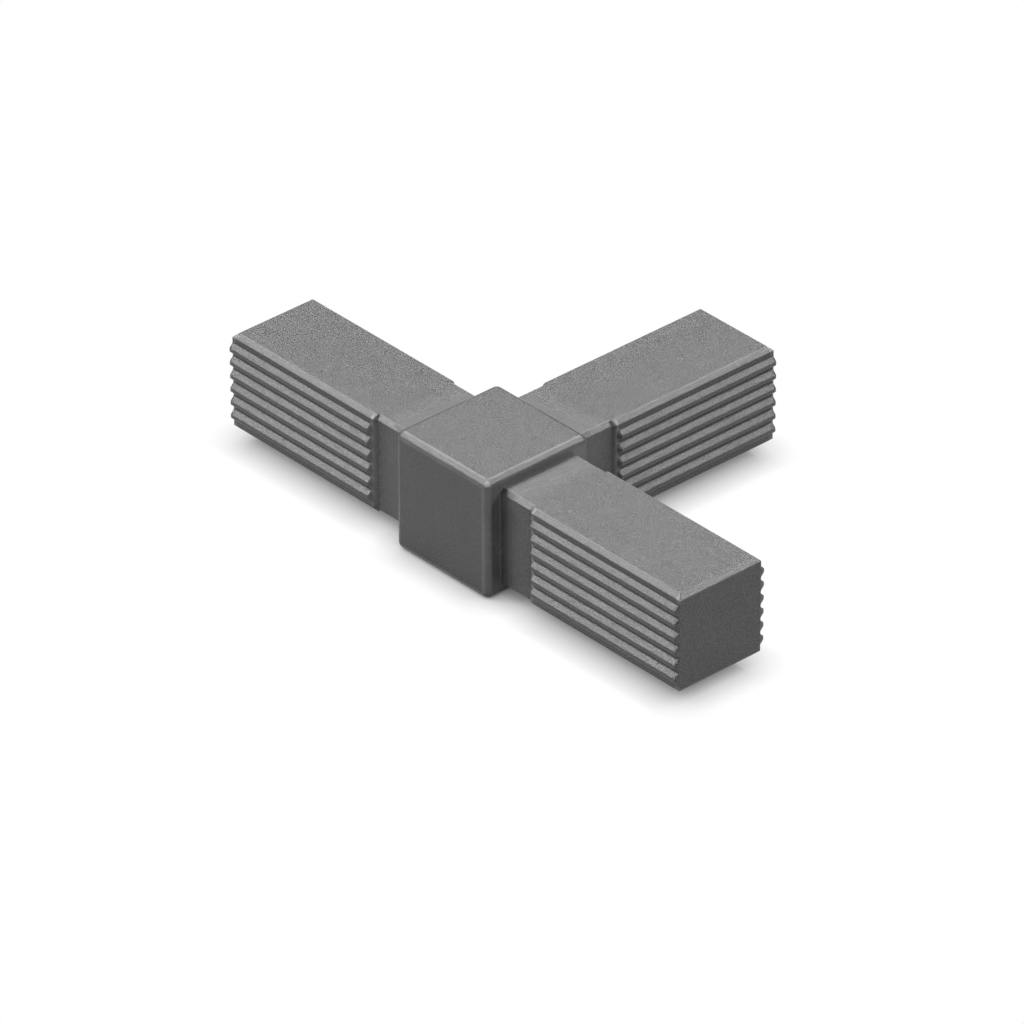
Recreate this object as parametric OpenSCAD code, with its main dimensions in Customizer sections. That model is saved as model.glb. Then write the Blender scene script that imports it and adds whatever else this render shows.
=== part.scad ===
// T-connector for square tube: a cube with rounded edges and three spigots, two in line
// and one square to them. A tube is pressed over each spigot until it butts on the cube.
// The origin is the centre of the cube's bottom face. The spigots lie along +X, +Y and -X.

/* [Tube] */
// Outside width of the square tube, which the cube matches
tube_w = 25; // [22:0.5:40]
// Wall of the tube
tube_t = 2; // [1.2:0.1:3]

/* [Cube] */
// Radius of the cube's edges and corners
cube_r = 1.5; // [0.5:0.1:2.5]

/* [Spigots] */
// Length of a spigot, from the cube's face to the spigot's end
spigot_l = 48; // [30:1:80]
// Gap between the tube and the spigot's top or bottom
bore_gap = 0.15; // [0.05:0.05:0.4]
// Chamfer along the spigot's long edges and across the top and bottom of its end
spigot_c = 0.85; // [0.3:0.05:1.2]

/* [Neck] */
// Length of the smooth neck between the cube and the grip
neck_l = 8.6; // [4:0.2:16]
// Step from the neck's upright side out to the grip's
neck_step = 0.55; // [0.3:0.05:1]
// Radius at the neck's root, where it meets the cube
neck_r = 0.3; // [0.2:0.05:0.8]

/* [Ribs] */
// Distance from one rib to the next
rib_pitch = 2.86; // [2.6:0.02:4]
// Width of a rib's flat crest
rib_crest = 0.75; // [0.4:0.05:1]
// Width of the flat between two ribs
rib_root = 0.4; // [0.3:0.05:1]
// Height of a rib
rib_h = 0.85; // [0.5:0.05:1.4]
// How far a rib's crest stands past the tube's bore, for the press fit
rib_press = 0.2; // [0.1:0.05:0.45]
// Length over which a rib rises at the neck, on the slope that also makes the step
rib_lead = 0.6; // [0.3:0.1:2]
// Length over which a rib runs out at the spigot's end
rib_tip = 0.2; // [0.1:0.05:1]

/* [Hidden] */
$fn = 64;
// Directions of the spigots
turns = [0, 90, 180];
// The tube's bore, and the spigot's height in it
bore = tube_w - 2 * tube_t;
spigot_h = bore - 2 * bore_gap;
// Distances from the spigot's axis to the ribs' crests, the grip's side and the neck's side
crest_y = bore / 2 + rib_press;
grip_y = crest_y - rib_h;
neck_y = grip_y - neck_step;
// Where a spigot starts inside the cube, where its grip starts, and where it ends
root_x = tube_w / 2 - tube_t;
grip_x = tube_w / 2 + neck_l;
end_x = tube_w / 2 + spigot_l;
// How far the arc at the neck's root runs into the cube
root_in = 0.02;
// Distance from the axis to the neck's chamfers, measured square to them
neck_d = (neck_y + spigot_h / 2 - spigot_c) / sqrt(2);
// Ribs that the flat of the upright side holds, and the height that a rib's flank takes
rib_n = floor((spigot_h - 2 * spigot_c) / rib_pitch);
flank = (rib_pitch - rib_crest - rib_root) / 2;
// Height of each rib's middle above the axis
rib_z = [for (i = [0:rib_n - 1]) (i - (rib_n - 1) / 2) * rib_pitch];

// Square with round corners
module rounded_square(w, r) {
    square([w, w - 2 * r], center = true);
    square([w - 2 * r, w], center = true);
    for (x = [-1, 1], y = [-1, 1])
        translate([x * (w / 2 - r), y * (w / 2 - r)])
            circle(r);
}

// Cube that the tubes butt against: a rounded bar along each axis, and a ball in each corner
module hub() {
    inner = tube_w / 2 - cube_r;
    for (a = [[0, 0, 0], [90, 0, 0], [0, 90, 0]])
        rotate(a)
            linear_extrude(2 * inner, center = true)
                rounded_square(tube_w, cube_r);
    for (x = [-1, 1], y = [-1, 1], z = [-1, 1])
        translate(inner * [x, y, z])
            sphere(cube_r);
}

// Outline of the neck at a distance from its axis: a bar that widens in an arc to the cube
module neck_outline(d) {
    difference() {
        translate([root_x, -d - neck_r])
            square([grip_x + rib_lead - root_x, 2 * (d + neck_r)]);
        for (s = [-1, 1])
            translate([tube_w / 2 + neck_r - root_in, s * (d + neck_r)]) {
                circle(neck_r);
                translate([0, -neck_r])
                    square([neck_l + rib_lead, 2 * neck_r]);
            }
    }
}

// Smooth neck: the arc runs round its upright sides and chamfers, and the top and bottom stay flat
module neck() {
    intersection() {
        translate([root_x, -tube_w, -spigot_h / 2])
            cube([grip_x + rib_lead - root_x, 2 * tube_w, spigot_h]);
        linear_extrude(2 * tube_w, center = true)
            neck_outline(neck_y);
        for (a = [-45, 45])
            rotate([a, 0, 0])
                linear_extrude(3 * tube_w, center = true)
                    neck_outline(neck_d);
    }
}

// One upright side of the grip's section, from its lower chamfer to its upper one
function grip_edge() = concat(
    [[grip_y - spigot_c, -spigot_h / 2], [grip_y, spigot_c - spigot_h / 2]],
    [for (z = rib_z, p = [
        [grip_y, z - rib_crest / 2 - flank],
        [crest_y, z - rib_crest / 2],
        [crest_y, z + rib_crest / 2],
        [grip_y, z + rib_crest / 2 + flank]
    ]) p],
    [[grip_y, spigot_h / 2 - spigot_c], [grip_y - spigot_c, spigot_h / 2]]
);

// The same points on the other side, so that the section closes
function turned(points) = [for (p = points) -p];

// Ribbed grip: its section along the spigot, trimmed where the ribs run out and at the end's chamfers
module grip() {
    intersection() {
        translate([grip_x, 0, 0])
            rotate([90, 0, 90])
                linear_extrude(end_x - grip_x)
                    polygon(concat(grip_edge(), turned(grip_edge())));
        linear_extrude(2 * tube_w, center = true)
            run_out();
        rotate([90, 0, 0])
            linear_extrude(2 * tube_w, center = true)
                end_chamfer();
    }
}

// Plan of the ribs' ends: one slope rises from the neck's side past the crests, and one from the end's edge
module run_out() {
    high = crest_y + rib_h;
    upper = [
        [end_x + rib_tip, grip_y - rib_h],
        [end_x - 2 * rib_tip, high],
        [grip_x + rib_lead / rib_h * (high - neck_y), high],
        [grip_x - rib_lead, neck_y - rib_h]
    ];
    polygon(concat(upper, [for (i = [3:-1:0]) [upper[i].x, -upper[i].y]]));
}

// Side view of the spigot's end, chamfered at its top and bottom
module end_chamfer() {
    low = spigot_h / 2 - 2 * spigot_c;
    high = spigot_h / 2 + spigot_c;
    upper = [
        [end_x + spigot_c, low],
        [end_x - 2 * spigot_c, high],
        [grip_x - spigot_c, high]
    ];
    polygon(concat(upper, [for (i = [2:-1:0]) [upper[i].x, -upper[i].y]]));
}

// The whole moulding
module t_connector() {
    color([0.3, 0.31, 0.31])
        translate([0, 0, tube_w / 2]) {
            hub();
            for (a = turns)
                rotate([0, 0, a]) {
                    neck();
                    grip();
                }
        }
}

t_connector();
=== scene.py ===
import math

import bpy
import numpy as np
from mathutils import Matrix


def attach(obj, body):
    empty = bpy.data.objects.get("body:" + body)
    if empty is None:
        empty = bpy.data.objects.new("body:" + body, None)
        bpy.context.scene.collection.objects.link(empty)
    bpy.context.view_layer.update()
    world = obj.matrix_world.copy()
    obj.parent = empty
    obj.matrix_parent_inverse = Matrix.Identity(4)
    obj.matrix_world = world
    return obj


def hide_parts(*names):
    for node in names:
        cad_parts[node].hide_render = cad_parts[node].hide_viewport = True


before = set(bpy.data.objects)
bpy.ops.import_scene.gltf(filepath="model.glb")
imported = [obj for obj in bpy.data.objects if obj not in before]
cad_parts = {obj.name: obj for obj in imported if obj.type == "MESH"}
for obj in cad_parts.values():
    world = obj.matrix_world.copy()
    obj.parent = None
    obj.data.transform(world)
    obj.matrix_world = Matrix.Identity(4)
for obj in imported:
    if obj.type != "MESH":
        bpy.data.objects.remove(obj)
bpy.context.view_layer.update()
print("frame loaded:", sorted(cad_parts))

mm = 0.001

# the moulding in millimetres: the main sizes are the solid's, and the small ones shape its edges
mould = {
    "cubeWidth": 25.0,
    "cubeRadius": 1.5,
    "cubeSteps": 10,         # grid lines across half of a rounded edge
    "spigotTurns": (0, 90, 180),    # degrees about Z
    "spigotLength": 48.0,
    "spigotHeight": 20.7,
    "spigotRoot": 0.8,       # how far a spigot runs into the cube
    "chamfer": 0.85,
    "leastChamfer": 0.03,    # what is left of it where the end's chamfer cuts it away
    "neckLength": 8.6,
    "neckSide": 9.3,         # from the spigot's axis, as the grip's side is
    "gripSide": 9.85,
    "rootRadius": 0.12,
    "rootTurn": 84.0,        # degrees of the arc at the neck's root
    "rootRows": 6,
    "rampPlaces": (-0.7, -0.5, -0.3, -0.15, 0.0, 0.02, 0.1, 0.2, 0.3, 0.45),    # from the grip's start
    "ribCount": 6,
    "ribPitch": 2.86,
    "ribCrest": 0.75,
    "ribFlank": 0.855,
    "ribHeight": 0.85,
    "ribLead": 0.6,          # run of the slope on which a rib rises at the neck
    "ribRise": ((0.3, 0.24), (0.85, 0.85), (1.0, 0.96)),    # shares of that run and of the height
    "ribTip": 0.1,           # run of the slope on which it falls at the end
    "ribFall": ((1.5, 1.0), (1.0, 0.94), (0.0, 0.0)),       # runs before the end, shares of the height
    "ribTipRows": (1.5, 1.0, 0.5),
    "ribRound": 0.1,
    "topRound": 0.2,         # between the top or bottom and a chamfer
    "sideRound": 0.1,        # between a chamfer and the upright side
    "roundSteps": 3,
    "endSoft": 0.14,         # half the length of the bend where the end's chamfer starts
    "endRound": 0.04,
    "endRows": 5,            # in that bend, and again in the end's rounded edge
    "endInset": 0.25,        # from the end's edges to the last ring
}

# painted light on the edges, standing in for their highlights and for light in shaded hollows: one is as
# pale as the edge colour, two as pale as a speck, for painted glints
paintedLight = {
    "acrossRound": (0.0, 0.3, 0.7, 1.0),    # places across a rounded edge, for the next three
    "topEdge": (0.0, 1.0, 0.9, 0.4),        # from the top or bottom to the chamfer
    "sideEdge": (0.4, 0.5, 0.5, 0.0),       # from the chamfer to the upright side
    "crestEdge": (0.1, 0.8, 0.8, 0.1),
    "onChamfer": 0.3,                       # points painted paler than this count as the chamfer's
    "endCorner": 1.5,
    "endRim": 0.9,
    "endRibs": 0.1,
    "endPlaces": (0.03, 0.08),              # from the end's face
    "endBend": (-0.1, 0.0, 0.14),           # from the start of the end's chamfer
    "endLevels": (1.0, 0.7, 0.7, 1.0, 0.0),
    "stepCorner": 1.1,
    "stepPlaces": (-0.5, -0.1, 0.5, 0.9, 1.1),    # from the grip's start
    "stepLevels": (0.0, 0.6, 1.0, 1.0, 0.0),
    "rootPlaces": (0.5, 0.3),               # from the cube's face
    "rootLevels": (0.0, 0.5),
    "cubePlaces": (0.0, 0.006, 0.034, 0.094, 0.29),    # one less the cosine of the turn from a flat
    "cubeLevels": (0.0, 1.06, 1.02, 0.78, 0.4),
    "cubeRise": (0.1, 0.7),                 # upward part of the direction
    "cubeShares": (0.65, 1.0),
    "uprightRise": (0.05, 0.3),
    "uprightPlace": 0.012,                  # upright edges are painted pale in full from here on, as painted light they catch from the front
    "cornerPlaces": (0.0, 0.05, 0.8),
    "cornerLevels": (0.0, 0.8, 1.6),
    # painted highlight kept weaker on the edges behind; the butt faces get painted fill light all over
    "behind": 0.25,
    "butt": 0.8,
}


def roundedPath(corners, reach, steps):
    # each corner is cut by a parabola: it leaves one side at the reach before the corner
    # and joins the next side at the reach after it, and takes less than half of a short side
    most = 0.42
    before = np.roll(corners, 1, axis=-2) - corners
    after = np.roll(corners, -1, axis=-2) - corners
    lengthBefore = np.linalg.norm(before, axis=-1, keepdims=True)
    lengthAfter = np.linalg.norm(after, axis=-1, keepdims=True)
    cut = np.minimum(reach[..., None], most * np.minimum(lengthBefore, lengthAfter))
    start = corners + before / lengthBefore * cut
    end = corners + after / lengthAfter * cut
    t = np.linspace(0.0, 1.0, steps + 1)[:, None]
    curve = (
        (1 - t) ** 2 * start[..., None, :]
        + 2 * t * (1 - t) * corners[..., None, :]
        + t ** 2 * end[..., None, :]
    )
    return curve.reshape(corners.shape[:-2] + (-1, 2))


def rowsOf(*columns):
    # a column may be one number for all the rows
    return np.stack(np.broadcast_arrays(*columns), -1)


def startRows(m):
    # columns: distance from the cube's middle, side, chamfer's width, half height, rib height
    # and chamfer's drop
    face = m["cubeWidth"] / 2
    grip = face + m["neckLength"]
    side, neck, leg, top = m["gripSide"], m["neckSide"], m["chamfer"], m["spigotHeight"] / 2
    # root: an arc runs round the neck's sides and chamfers alike, so the chamfers narrow a little
    turn = np.radians(np.linspace(m["rootTurn"], 0, m["rootRows"]))
    arc = m["rootRadius"] * (1 - np.cos(turn))
    rootLeg = leg - (math.sqrt(2) - 1) * arc
    root = rowsOf(face + m["rootRadius"] * (1 - np.sin(turn)), neck + arc, rootLeg, top, 0.0, rootLeg)
    inside = root[:1] - [m["spigotRoot"], 0, 0, 0, 0, 0]
    # ramp: the side rises in a smooth step, and the chamfer's upper edge jumps at the grip's start
    along = grip + np.array(m["rampPlaces"])
    t = (along - along[0]) / (along[-1] - along[0])
    rise = neck + (side - neck) * t * t * (3 - 2 * t)
    upper = np.where(along > grip, side, neck) - leg
    ramp = rowsOf(along, rise, rise - upper, top, 0.0, leg)
    # ribs: they rise on one slope, which starts from the neck's side, and round off at the crest
    lead = m["ribLead"]
    run, share = np.array(m["ribRise"]).T
    ribAt = grip + (side - neck) * lead / m["ribHeight"] + np.r_[lead * run, lead + m["ribRound"]]
    ribs = rowsOf(ribAt, side, leg, top, m["ribHeight"] * np.r_[share, 1.0], leg)
    return np.vstack([inside, root, ramp, ribs])


def endRows(m):
    # the same columns: the top falls by a parabola into the end's chamfer, the ribs run out beside
    # it, and the end's edge is an arc
    end = m["cubeWidth"] / 2 + m["spigotLength"]
    leg, top = m["chamfer"], m["spigotHeight"] / 2
    soft, edge = m["endSoft"], m["endRound"]
    turn = np.radians(np.linspace(0, 90, m["endRows"]))
    x = np.r_[
        end - leg + soft * np.linspace(-1, 1, m["endRows"]),
        end - m["ribTip"] * np.array(m["ribTipRows"]),
        end - edge * (1 - np.sin(turn)),
    ]
    inset = np.r_[np.zeros(x.size - turn.size), edge * (1 - np.cos(turn))]
    past = x - (end - leg)
    bend = np.clip(past / soft, -1, 1)
    fall = np.where(bend < 1, soft * (bend + 1) ** 2 / 4, past)
    runs, share = np.array(m["ribFall"]).T
    rib = m["ribHeight"] * np.interp(x, end - m["ribTip"] * runs, share)
    left = np.maximum(leg - fall, m["leastChamfer"])
    tip = rowsOf(x, m["gripSide"] - inset, left, top - fall - inset, rib, left)
    # last ring lies on the flat end face, a little inside its edges
    flat = tip[-1:] - m["endInset"] * np.array([0, 1, 0, 1, 0, 0])
    return np.vstack([tip, flat])


def spigotGrid(m, rows):
    # section carried along the spigot: at each station the corners of one upright side run from
    # the lower chamfer over the ribs to the upper chamfer, and the other side is the same turned
    n = len(rows)
    side, leg, top, rib, drop = (rows[:, i, None] for i in range(1, 6))
    middles = (np.arange(m["ribCount"]) - (m["ribCount"] - 1) / 2) * m["ribPitch"]
    half = m["ribCrest"] / 2
    foot = half + m["ribFlank"]
    ribZ = (middles[:, None] + np.array([-foot, -half, half, foot])).ravel()
    lift = np.tile([0.0, 1.0, 1.0, 0.0], m["ribCount"])
    y = np.hstack([side - leg, side, side + rib * lift, side, side - leg])
    z = np.hstack([-top, drop - top, np.tile(ribZ, (n, 1)), top - drop, top])
    corners = np.stack([np.hstack([y, -y]), np.hstack([z, -z])], -1)
    ribReach = np.full(ribZ.size, m["ribRound"])
    reach = np.r_[m["topRound"], m["sideRound"], ribReach, m["sideRound"], m["topRound"]]
    outline = roundedPath(corners, np.tile(reach, (n, 2)), m["roundSteps"])
    x = np.repeat(rows[:, :1], outline.shape[1], axis=1)
    return np.concatenate([x[..., None], outline], -1)


def spigotPaintedLight(m, w, rows):
    # painted light, the greatest of four: highlights along the spigot's rounded edges and on the end's
    # rim and chamfer, and light painted into the shade at the start of the grip and at the root
    t = np.linspace(0.0, 1.0, m["roundSteps"] + 1)
    topEdge, sideEdge, crestEdge = (
        np.interp(t, w["acrossRound"], w[name]) for name in ("topEdge", "sideEdge", "crestEdge")
    )
    chamfer = np.r_[topEdge, sideEdge]
    crest = np.tile(np.r_[0 * t, crestEdge, crestEdge, 0 * t], m["ribCount"])

    def around(onChamfer, onRibs):
        return np.r_[onChamfer, np.full(crest.size, onRibs), onChamfer[::-1]]

    crests = np.r_[0 * chamfer, crest, 0 * chamfer]
    edges = around(chamfer, 0.0) + crests * rows[:, 4:5] / m["ribHeight"]
    fromEnd = m["cubeWidth"] / 2 + m["spigotLength"] - rows[:, :1]
    rim = around(np.where(chamfer > w["onChamfer"], w["endCorner"], w["endRim"]), w["endRibs"])
    endPlaces = np.r_[w["endPlaces"], m["chamfer"] + np.array(w["endBend"])]
    atEnd = np.interp(fromEnd, endPlaces, w["endLevels"])
    step = around(np.where(chamfer > w["onChamfer"], w["stepCorner"], 0.0), 1.0)
    pastStart = m["spigotLength"] - m["neckLength"] - fromEnd
    atStart = np.interp(pastStart, w["stepPlaces"], w["stepLevels"])
    atRoot = np.interp(fromEnd, m["spigotLength"] - np.array(w["rootPlaces"]), w["rootLevels"])
    edge = np.maximum(np.maximum(edges, rim * atEnd), np.maximum(step * atStart, atRoot))
    edge[-1] = 0.0
    return np.hstack([edge, edge])


def cubeGrid(m):
    # rounded cube: a point of a plain cube's face is held inside the inner cube, then moved out
    # by the radius along the direction that it was moved in by
    half = m["cubeWidth"] / 2
    inner = half - m["cubeRadius"]
    turn = np.radians(np.linspace(0, 45, m["cubeSteps"]))
    halfLine = inner + m["cubeRadius"] * np.tan(turn)
    line = np.r_[-halfLine[::-1], halfLine]
    u, v = np.meshgrid(line, line, indexing="ij")
    w = np.full_like(u, half)
    sides = np.stack([
        np.stack([u, v, w], -1), np.stack([v, u, -w], -1),
        np.stack([w, u, v], -1), np.stack([-w, v, u], -1),
        np.stack([v, w, u], -1), np.stack([u, -w, v], -1),
    ])
    held = np.clip(sides, -inner, inner)
    out = sides - held
    out /= np.linalg.norm(out, axis=-1, keepdims=True)
    return held + m["cubeRadius"] * out, out


def cubePaintedLight(w, out):
    # a flat faces along one axis, so what its direction lacks of that is a measure of the edge: its
    # painted highlight is palest where its rounding starts, and weaker lower down
    x, y, z = np.moveaxis(out, -1, 0)
    off = 1 - np.abs(out).max(axis=-1)
    edge = np.interp(off, w["cubePlaces"], w["cubeLevels"])
    edge = edge * np.interp(z, w["cubeRise"], w["cubeShares"])
    upright = np.interp(np.abs(z), w["uprightRise"], [1.0, 0.0])
    edge = np.maximum(edge, upright * np.clip(off / w["uprightPlace"], 0.0, 1.0))
    # the upper corners get the palest paint, a painted glint: the product of the direction's parts is
    # greatest there, and eight makes it one
    corner = 8 * np.abs(x * y) * np.maximum(z, 0.0) ** 2
    edge = np.maximum(edge, np.interp(corner, w["cornerPlaces"], w["cornerLevels"]))
    # the edges behind get less painted highlight, and the three faces that tubes butt on get painted fill
    # light all over
    little = 0.05
    edge = edge * np.where((x < -little) | (y > little), w["behind"], 1.0)
    flat = 0.9999
    return np.where(np.maximum(np.abs(x), y) > flat, w["butt"], edge)


def gridFaces(rowsCount, columns, closed):
    # quads between neighbouring rows, and round to the first column if the grid is closed
    a = np.arange(rowsCount - 1)[:, None] * columns
    b = np.arange(columns if closed else columns - 1)
    c = (b + 1) % columns
    return np.stack([a + b, a + c, a + columns + c, a + columns + b], -1).reshape(-1, 4)


def cubeMesh(m, w):
    # the six sides meet in the same rows of points, so points equal to so many digits become one
    digits = 5
    grids, out = cubeGrid(m)
    n = grids.shape[1]
    points = grids.reshape(-1, 3)
    quads = gridFaces(n, n, False)[:, [0, 3, 2, 1]]    # turned over, to face outwards
    faces = (quads + np.arange(6)[:, None, None] * n * n).reshape(-1, 4)
    rounded = np.round(points, digits)
    _, first, same = np.unique(rounded, axis=0, return_index=True, return_inverse=True)
    return points[first], same.ravel()[faces], cubePaintedLight(w, out).ravel()[first]


def buildMoulding(m, w):
    # the spigot is made once along X and turned about Z, and each copy ends inside the cube
    cubePoints, cubeFaces, cubeEdge = cubeMesh(m, w)
    rows = np.vstack([startRows(m), endRows(m)])
    grid = spigotGrid(m, rows)
    spigotEdge = spigotPaintedLight(m, w, rows).ravel()
    rowsCount, columns = grid.shape[:2]
    spigot = grid.reshape(-1, 3)
    quads = gridFaces(rowsCount, columns, True)
    ring = np.arange(columns)
    tip = ring + (rowsCount - 1) * columns
    points, along, edge = [cubePoints], [np.zeros_like(cubePoints)], [cubeEdge]
    faces = cubeFaces.tolist()
    for k, angle in enumerate(m["spigotTurns"]):
        c, s = math.cos(math.radians(angle)), math.sin(math.radians(angle))
        first = len(cubePoints) + k * len(spigot)
        points.append(spigot @ np.array([[c, s, 0], [-s, c, 0], [0, 0, 1]]))
        along.append(spigot)
        edge.append(spigotEdge)
        faces += (quads + first).tolist() + [(tip + first).tolist(), (ring[::-1] + first).tolist()]
    points = np.vstack(points) * mm + [0, 0, m["cubeWidth"] / 2 * mm]
    mesh = bpy.data.meshes.new("tConnector")
    mesh.from_pydata(points.tolist(), [], faces)
    place = mesh.attributes.new("along", "FLOAT_VECTOR", "POINT")    # on a spigot that points along X
    place.data.foreach_set("vector", (np.vstack(along) * mm).astype(np.float32).ravel())
    # the edge attribute carries painted light: how far each point is painted paler for its highlight or
    # for light in a shaded hollow
    lightened = mesh.attributes.new("edge", "FLOAT", "POINT")
    lightened.data.foreach_set("value", np.concatenate(edge).astype(np.float32))
    mesh.validate()
    mesh.shade_smooth()
    piece = bpy.data.objects.new("tConnector", mesh)
    bpy.context.scene.collection.objects.link(piece)
    weighted = piece.modifiers.new("flatFaces", "WEIGHTED_NORMAL")
    weighted.mode = "FACE_AREA"
    weighted.weight = 100
    return piece


connector = buildMoulding(mould, paintedLight)
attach(connector, "root")
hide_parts("t_connector")
print("moulding:", len(connector.data.polygons), "faces")


def addNode(tree, kind, values=None, links=None, **settings):
    made = tree.nodes.new(kind)
    for key, value in settings.items():
        setattr(made, key, value)
    for key, value in (values or {}).items():
        made.inputs[key].default_value = value
    for key, source in (links or {}).items():
        tree.links.new(source, made.inputs[key])
    return made


def combine(tree, operation, a, b, **settings):
    return addNode(tree, "ShaderNodeMath", None, {0: a, 1: b}, operation=operation, **settings).outputs[0]


def ramp(tree, source, spread, result, kind="LINEAR"):
    # the source's spread, low and high, becomes the result's low and high
    values = dict(enumerate((*spread, *result), start=1))
    return addNode(tree, "ShaderNodeMapRange", values, {0: source}, interpolation_type=kind).outputs[0]


def noise(tree, place, scale, detail, roughness):
    values = {"Scale": scale, "Detail": detail, "Roughness": roughness}
    return addNode(tree, "ShaderNodeTexNoise", values, {"Vector": place}).outputs["Fac"]


def blend(tree, share, base, colour):
    # a colour laid over the base, which is another colour's socket
    return addNode(tree, "ShaderNodeMix", {7: colour}, {0: share, 6: base}, data_type="RGBA").outputs[2]


# finish of the plastic: lengths in millimetres, colours linear
plastic = {
    "colour": (0.009, 0.009, 0.0092, 1.0),
    "paleColour": (0.079, 0.079, 0.079, 1.0),
    # the edge colour paints light on edges and in hollows, and tints the paler root band
    "edgeColour": (0.16, 0.16, 0.159, 1.0),
    # the speck colour is for the random specks and for the painted glints at corners
    "speckAndGlintColour": (0.7, 0.7, 0.69, 1.0),
    "roughness": (0.2, 0.28),
    "specular": 0.46,
    "grain": 0.26,
    "grainDepth": 0.066,
    "grainSpread": (0.34, 0.66),    # noise values that become the darkest and the palest grain
    "cloud": 7.0,
    "cloudSpread": (0.3, 0.7),
    "cloudTone": (-0.05, 0.1),
    "lines": (24.0, 0.35),          # length and width of the faint lines along a spigot
    "lineDepth": 0.006,
    "lineSpread": (0.3, 0.7),
    "lineTone": (0.8, 1.05),
    "lineHeight": (10.15, 10.3),    # from the axis: the lines are on the top and bottom only
    "specks": 3.6,                  # size of the cells, of which a few have a speck
    "speckSize": (0.014, 0.0224),   # core and rim, as shares of a cell
    "speckPick": (0.94, 0.95),
    "rootBand": (13.2, 13.9, 15.6, 16.5),    # from the cube's middle: rises, full, full, gone
    "bandSpread": (0.35, 0.6),
    "bandGrain": (0.35, 1.0),
    "bandPaleness": 0.32,
    "bandRoughness": 0.12,
    "edgePatches": (0.6, 1.0),
}


def plasticFinish(p):
    mat = bpy.data.materials.new("darkGreyPlastic")
    mat.use_nodes = True
    tree = mat.node_tree
    shader = tree.nodes["Principled BSDF"]
    shader.inputs["Specular IOR Level"].default_value = p["specular"]
    whole = (0.0, 1.0)
    place = addNode(tree, "ShaderNodeTexCoord").outputs["Object"]
    spigot = addNode(tree, "ShaderNodeAttribute", attribute_name="along").outputs["Vector"]
    edge = addNode(tree, "ShaderNodeAttribute", attribute_name="edge").outputs["Fac"]
    fromMiddle, _, upwards = addNode(tree, "ShaderNodeSeparateXYZ", links={0: spigot}).outputs

    # grain of the mould and slow changes of sheen over the part
    grain = noise(tree, place, 1 / (p["grain"] * mm), detail=3.0, roughness=0.6)
    cloud = noise(tree, place, 1 / (p["cloud"] * mm), detail=3.0, roughness=0.55)

    # faint lines along each spigot's top and bottom, as stretched noise
    length, width = (v * mm for v in p["lines"])
    scale = {"Scale": (1 / length, 1 / width, 1 / width)}
    stretch = addNode(tree, "ShaderNodeMapping", scale, {"Vector": spigot}).outputs[0]
    streaks = noise(tree, stretch, 1.0, detail=2.0, roughness=0.5)
    height = addNode(tree, "ShaderNodeMath", links={0: upwards}, operation="ABSOLUTE").outputs[0]
    onTop = ramp(tree, height, [v * mm for v in p["lineHeight"]], whole)
    lines = combine(tree, "MULTIPLY", ramp(tree, streaks, p["lineSpread"], (-1.0, 1.0)), onTop)

    # paler, duller band at the root of each spigot, strongest on the grain's peaks
    rise, full, keep, gone = (v * mm for v in p["rootBand"])
    band = combine(
        tree, "MULTIPLY",
        ramp(tree, fromMiddle, (rise, full), whole, "SMOOTHSTEP"),
        ramp(tree, fromMiddle, (keep, gone), (1.0, 0.0), "SMOOTHSTEP"),
    )
    bandPale = combine(tree, "MULTIPLY", band, ramp(tree, grain, p["bandSpread"], p["bandGrain"]))

    # a few pale specks: small cores of a sparse cell pattern, kept in a few cells only
    size = {"Scale": 1 / (p["specks"] * mm), "Randomness": 1.0}
    cells = addNode(tree, "ShaderNodeTexVoronoi", size, {"Vector": place}).outputs
    pick = addNode(tree, "ShaderNodeSeparateColor", links={0: cells["Color"]}).outputs[0]
    specks = combine(
        tree, "MULTIPLY",
        ramp(tree, cells["Distance"], p["speckSize"], (1.0, 0.0)),
        ramp(tree, pick, p["speckPick"], whole),
    )

    # tone from the grain, weaker or stronger along the lines, and a little from the clouds
    grainTone = combine(
        tree, "MULTIPLY",
        ramp(tree, grain, p["grainSpread"], whole),
        ramp(tree, lines, (-1.0, 1.0), p["lineTone"]),
    )
    cloudTone = ramp(tree, cloud, p["cloudSpread"], p["cloudTone"])
    share = combine(tree, "ADD", cloudTone, grainTone, use_clamp=True)
    ends = {6: p["colour"], 7: p["paleColour"]}
    tone = addNode(tree, "ShaderNodeMix", ends, {0: share}, data_type="RGBA").outputs[2]
    # edges painted paler for painted highlights and painted light in shaded hollows, in patches, and the
    # paler band at each root with them
    patches = combine(tree, "MULTIPLY", edge, ramp(tree, cloud, p["cloudSpread"], p["edgePatches"]))
    lightened = combine(tree, "MAXIMUM", patches, ramp(tree, bandPale, whole, (0.0, p["bandPaleness"])))
    tone = blend(tree, lightened, tone, p["edgeColour"])
    # above one the edge's measure marks the corners, painted palest as painted glints
    palest = combine(tree, "MAXIMUM", specks, ramp(tree, edge, (1.0, 2.0), whole))
    tree.links.new(blend(tree, palest, tone, p["speckAndGlintColour"]), shader.inputs["Base Color"])

    sheen = ramp(tree, cloud, p["cloudSpread"], p["roughness"])
    dull = ramp(tree, band, whole, (0.0, p["bandRoughness"]))
    tree.links.new(combine(tree, "ADD", sheen, dull), shader.inputs["Roughness"])

    depth = {"Strength": 1.0, "Distance": p["grainDepth"] * mm}
    bumps = addNode(tree, "ShaderNodeBump", depth, {"Height": grain}).outputs[0]
    depth = {"Strength": 1.0, "Distance": p["lineDepth"] * mm}
    scored = addNode(tree, "ShaderNodeBump", depth, {"Height": lines, "Normal": bumps}).outputs[0]
    tree.links.new(scored, shader.inputs["Normal"])
    return mat


connector.data.materials.append(plasticFinish(plastic))
print("finish done")

# floor in metres: white all over, with the part's shade close round it
floorLook = {
    "size": 4.0,
    "colour": (0.28, 0.28, 0.28, 1.0),
    "shadeReach": 0.0064,
}


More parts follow.
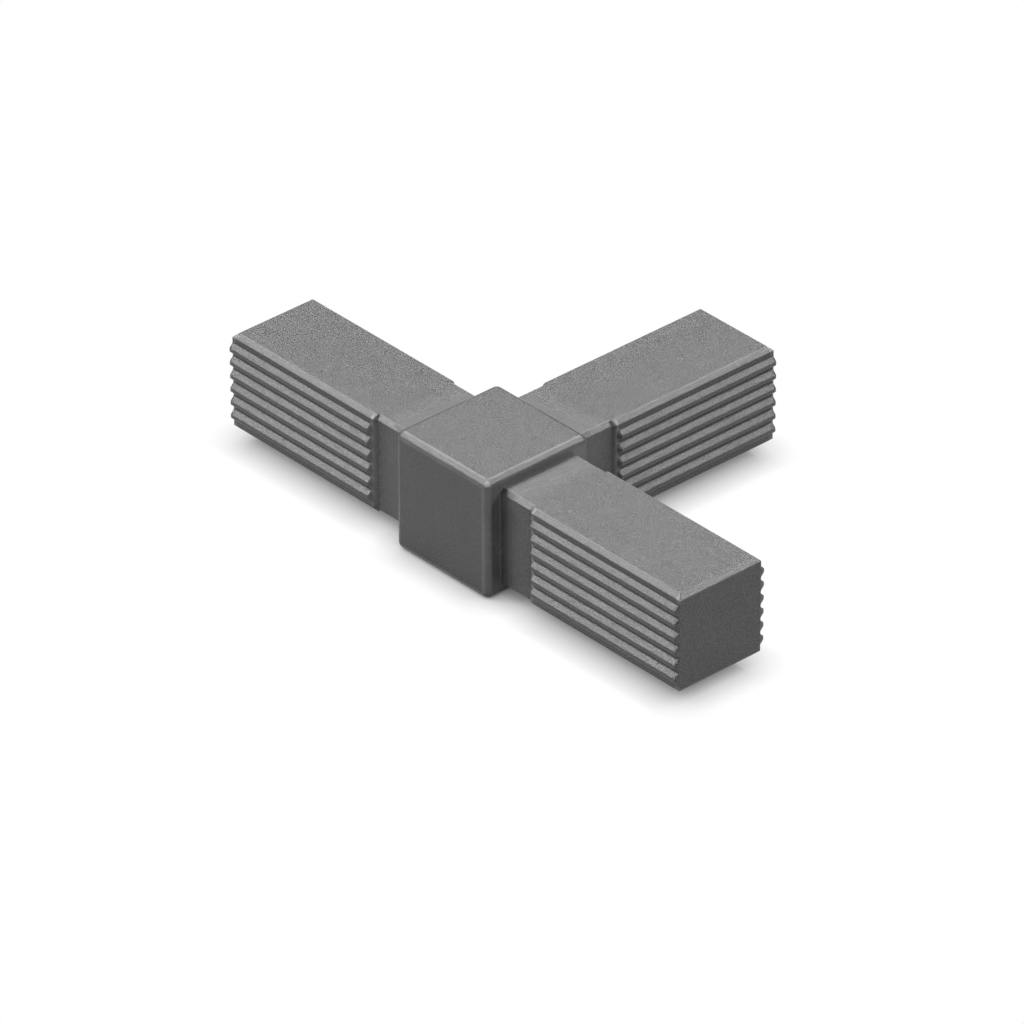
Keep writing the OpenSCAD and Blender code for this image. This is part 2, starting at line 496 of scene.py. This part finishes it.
def floorWhite(f):
    # seen straight or in a reflection it shines white, less where the part stands close
    mat = bpy.data.materials.new("floorWhite")
    mat.use_nodes = True
    tree = mat.node_tree
    shader = tree.nodes["Principled BSDF"]
    shader.inputs["Base Color"].default_value = f["colour"]
    shader.inputs["Roughness"].default_value = 1.0
    shader.inputs["Specular IOR Level"].default_value = 0.0
    white = addNode(tree, "ShaderNodeEmission")
    rays = addNode(tree, "ShaderNodeLightPath").outputs
    seen = combine(tree, "MAXIMUM", rays["Is Camera Ray"], rays["Is Glossy Ray"])
    shade = addNode(tree, "ShaderNodeAmbientOcclusion", {"Distance": f["shadeReach"]})
    share = combine(tree, "MULTIPLY", seen, shade.outputs["AO"])
    links = {0: share, 1: shader.outputs[0], 2: white.outputs[0]}
    both = addNode(tree, "ShaderNodeMixShader", links=links)
    tree.links.new(both.outputs[0], tree.nodes["Material Output"].inputs["Surface"])
    return mat


def layFloor(f):
    half = f["size"] / 2
    corners = [(-half, -half, 0), (half, -half, 0), (half, half, 0), (-half, half, 0)]
    mesh = bpy.data.meshes.new("floor")
    mesh.from_pydata(corners, [], [(0, 1, 2, 3)])
    mesh.materials.append(floorWhite(f))
    floor = bpy.data.objects.new("floor", mesh)
    bpy.context.scene.collection.objects.link(floor)


layFloor(floorLook)
print("floor laid")

# studio light, metres and degrees: each box has its azimuth, elevation, width and height as seen
# from the part, and its brightness
studio = {
    "distance": 3.0,
    "aim": mould["cubeWidth"] / 2 * mm,    # height of the part's middle
    "world": 0.04,
    "boxes": {
        "right": (138.0, 35.0, 22.0, 20.0, 10.0),
        "backRight": (176.0, 43.0, 50.0, 9.0, 14.2),
        "back": (228.0, 38.5, 44.0, 10.0, 10.6),
        "backLeft": (282.0, 47.0, 50.0, 10.0, 11.4),
        "left": (311.0, 31.0, 22.0, 28.0, 10.2),
        "front": (48.0, 28.0, 34.0, 20.0, 3.0),
    },
}


def directionOf(azimuth, elevation):
    # from the part, with azimuth counted from -Y towards +X
    a, e = math.radians(azimuth), math.radians(elevation)
    return np.array([math.sin(a) * math.cos(e), -math.cos(a) * math.cos(e), math.sin(e)])


def lookFrame(back, roll=0.0):
    # columns are right, up and back of something that looks against the back direction
    right = np.cross([0, 0, 1], back)
    right /= np.linalg.norm(right)
    up = np.cross(back, right)
    c, s = math.cos(math.radians(roll)), math.sin(math.radians(roll))
    return np.stack([c * right + s * up, c * up - s * right, back], -1)


def placed(axes, at):
    m = np.eye(4)
    m[:3, :3] = axes
    m[:3, 3] = at
    return Matrix(m.tolist())


def paintWorld(s):
    # white to the camera, and a dim even light on the part
    world = bpy.data.worlds.new("studioWorld")
    bpy.context.scene.world = world
    world.use_nodes = True
    tree = world.node_tree
    plainWhite = (1, 1, 1, 1)
    dim = tree.nodes["Background"]
    dim.inputs["Color"].default_value = plainWhite
    dim.inputs["Strength"].default_value = s["world"]
    white = addNode(tree, "ShaderNodeBackground", {"Color": plainWhite})
    seen = addNode(tree, "ShaderNodeLightPath").outputs["Is Camera Ray"]
    links = {0: seen, 1: dim.outputs[0], 2: white.outputs[0]}
    both = addNode(tree, "ShaderNodeMixShader", links=links)
    tree.links.new(both.outputs[0], tree.nodes["World Output"].inputs["Surface"])


def hangBoxes(s):
    def span(degrees):
        return 2 * s["distance"] * math.tan(math.radians(degrees / 2))

    for name, (azimuth, elevation, wide, high, level) in s["boxes"].items():
        lamp = bpy.data.lights.new(name, "AREA")
        lamp.shape = "RECTANGLE"
        lamp.size = span(wide)
        lamp.size_y = span(high)
        lamp.energy = level * math.pi * lamp.size * lamp.size_y
        holder = bpy.data.objects.new(name, lamp)
        bpy.context.scene.collection.objects.link(holder)
        holder.visible_camera = False
        back = directionOf(azimuth, elevation)
        holder.matrix_world = placed(lookFrame(back), back * s["distance"] + [0, 0, s["aim"]])


paintWorld(studio)
hangBoxes(studio)
print("light hung")

# camera of the photograph: place in millimetres, angles in degrees, focal length in pixels
shot = {
    "place": (1162.8, -1038.3, 994.6),
    "azimuth": 48.107,
    "elevation": 32.327,
    "roll": -0.181,
    "focalPixels": 10180.0,
    "framePixels": 1024,
    "sensor": 36.0,
    "farthest": 20.0,    # in metres
}


def setCamera(c):
    data = bpy.data.cameras.new("camera")
    data.sensor_width = c["sensor"]
    data.lens = c["focalPixels"] * c["sensor"] / c["framePixels"]
    data.clip_end = c["farthest"]
    camera = bpy.data.objects.new("camera", data)
    bpy.context.scene.collection.objects.link(camera)
    axes = lookFrame(directionOf(c["azimuth"], c["elevation"]), c["roll"])
    camera.matrix_world = placed(axes, np.array(c["place"]) * mm)
    bpy.context.scene.camera = camera


setCamera(shot)
bpy.context.scene.view_settings.view_transform = "Standard"
print("camera set")
